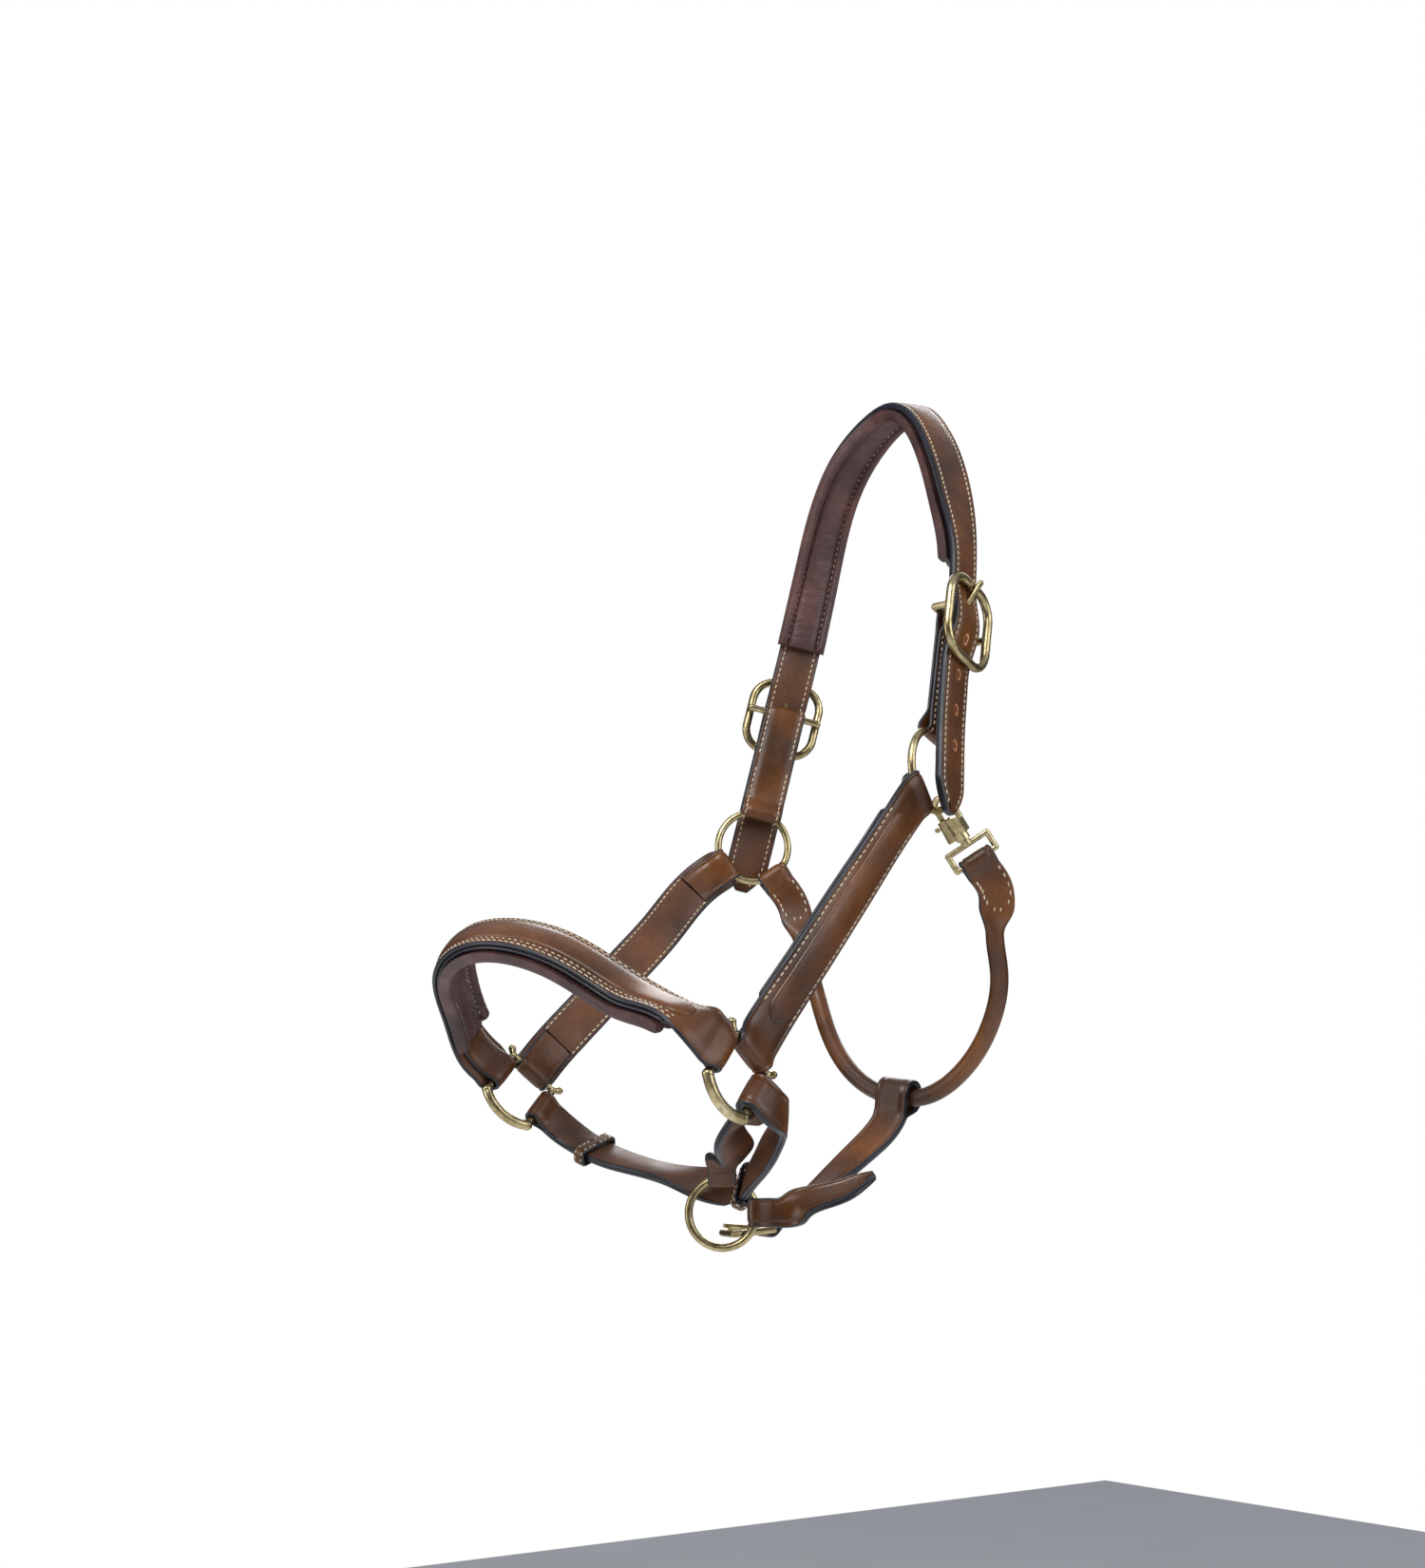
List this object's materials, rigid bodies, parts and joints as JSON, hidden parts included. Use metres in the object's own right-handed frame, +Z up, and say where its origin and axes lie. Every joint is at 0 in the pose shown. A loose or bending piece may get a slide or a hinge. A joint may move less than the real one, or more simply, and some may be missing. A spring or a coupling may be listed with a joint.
{
  "type": "headcollar",
  "caption": "Padded leather headcollar with buckled crown, ring cheeks, square halter fittings, rolled throat on a snap hook and a chin tie ring.",
  "frame": {"origin": "underside of the crown lining at the top of its arch, where it rests on the poll", "axes": "+X to the horse's left (near) side, -Y forward to the nose, +Z up; the headcollar hangs in its worn shape"},
  "size_m": [0.2159, 0.2787, 0.4683],
  "materials": {
    "strap_leather": "waxed satin, burnished black edges",
    "raised_leather": "waxed satin",
    "padded_lining": "soft semi-matt",
    "cord_core": "twisted cord",
    "antique_brass": "satin, lightly tarnished",
    "spring_steel": "plain"
  },
  "bodies": {
    "straps": {"chin_billet": "strap_leather", "chin_buckle_frame": "antique_brass", "crown_lining": "padded_lining", "crown_strap": "strap_leather", "far_cheek_raised_centre": "raised_leather", "far_cheek_strap": "strap_leather", "far_chin_strap": "strap_leather", "far_crown_buckle_frame": "antique_brass", "far_crown_chape": "strap_leather", "far_square": "antique_brass", "jowl_strap": "strap_leather", "near_cheek_raised_centre": "raised_leather", "near_cheek_strap": "strap_leather", "near_chin_strap": "strap_leather", "near_crown_buckle_frame": "antique_brass", "near_crown_chape": "strap_leather", "near_square": "antique_brass", "noseband_lining": "padded_lining", "noseband_raised_centre": "raised_leather", "noseband_strap": "strap_leather", "snap_eye": "antique_brass", "throat_cord_core": "cord_core", "throat_far_end": "strap_leather", "throat_near_end": "strap_leather", "throat_roll": "strap_leather"},
    "near_buckle_tongue": {"near_crown_buckle_tongue": "antique_brass"},
    "far_buckle_tongue": {"far_crown_buckle_tongue": "antique_brass"},
    "chin_tongue": {"chin_buckle_tongue": "antique_brass"},
    "near_cheek_ring": {"near_ring": "antique_brass"},
    "far_cheek_ring": {"far_ring": "antique_brass"},
    "chin_ring": {"tie_ring": "antique_brass"},
    "snap_hook": {"snap_body": "antique_brass", "snap_spring": "spring_steel"},
    "snap_thumb_bolt": {"snap_bolt": "antique_brass"},
    "far_keeper": {"far_chin_keeper": "strap_leather"},
    "near_keeper": {"near_chin_keeper": "strap_leather"}
  },
  "joints": [
    {"name": "near_buckle_tongue_hinge", "type": "hinge", "parent": "straps", "child": "near_buckle_tongue", "pos_m": [0.084, -0.037, -0.147], "axis": [-0.3524, 0.9001, -0.2562], "range_deg": [0, 6]},
    {"name": "far_buckle_tongue_hinge", "type": "hinge", "parent": "straps", "child": "far_buckle_tongue", "pos_m": [-0.085, -0.024, -0.156], "axis": [-0.457, -0.8534, 0.2506], "range_deg": [0, 6]},
    {"name": "chin_buckle_tongue_hinge", "type": "hinge", "parent": "straps", "child": "chin_tongue", "pos_m": [-0.005, -0.099, -0.446], "axis": [-0.9681, 0.2495, 0.025], "range_deg": [0, 45]},
    {"name": "near_ring_spin", "type": "hinge", "parent": "straps", "child": "near_cheek_ring", "pos_m": [0.08747, -0.05806, -0.22576], "axis": [0.9315, 0.3637, -0.0036], "continuous": true},
    {"name": "far_ring_spin", "type": "hinge", "parent": "straps", "child": "far_cheek_ring", "pos_m": [-0.08989, -0.04453, -0.23483], "axis": [-0.8832, 0.4687, -0.0146], "continuous": true},
    {"name": "tie_ring_spin", "type": "hinge", "parent": "straps", "child": "chin_ring", "pos_m": [0, -0.128, -0.438], "axis": [0.8412, -0.5408, 0], "continuous": true},
    {"name": "snap_swivel", "type": "hinge", "parent": "straps", "child": "snap_hook", "pos_m": [0.08352, -0.04813, -0.24267], "axis": [0.0793, 0.5802, -0.8106], "range_deg": [-12, 12]},
    {"name": "snap_bolt_slide", "type": "slide", "parent": "snap_hook", "child": "snap_thumb_bolt", "axis": [0.0793, 0.5802, -0.8106], "range_m": [0, 0.004], "stiffness_N_per_m": 300, "springref_m": -0.002, "deforming": ["snap_spring"]},
    {"name": "far_chin_keeper_slide", "type": "slide", "parent": "straps", "child": "far_keeper", "axis": [0.9041, 0.347, -0.2495], "range_m": [-0.003, 0.003]},
    {"name": "near_chin_keeper_slide", "type": "slide", "parent": "straps", "child": "near_keeper", "axis": [-0.883, 0.2855, -0.3725], "range_m": [-0.0025, 0.0025]}
  ]
}
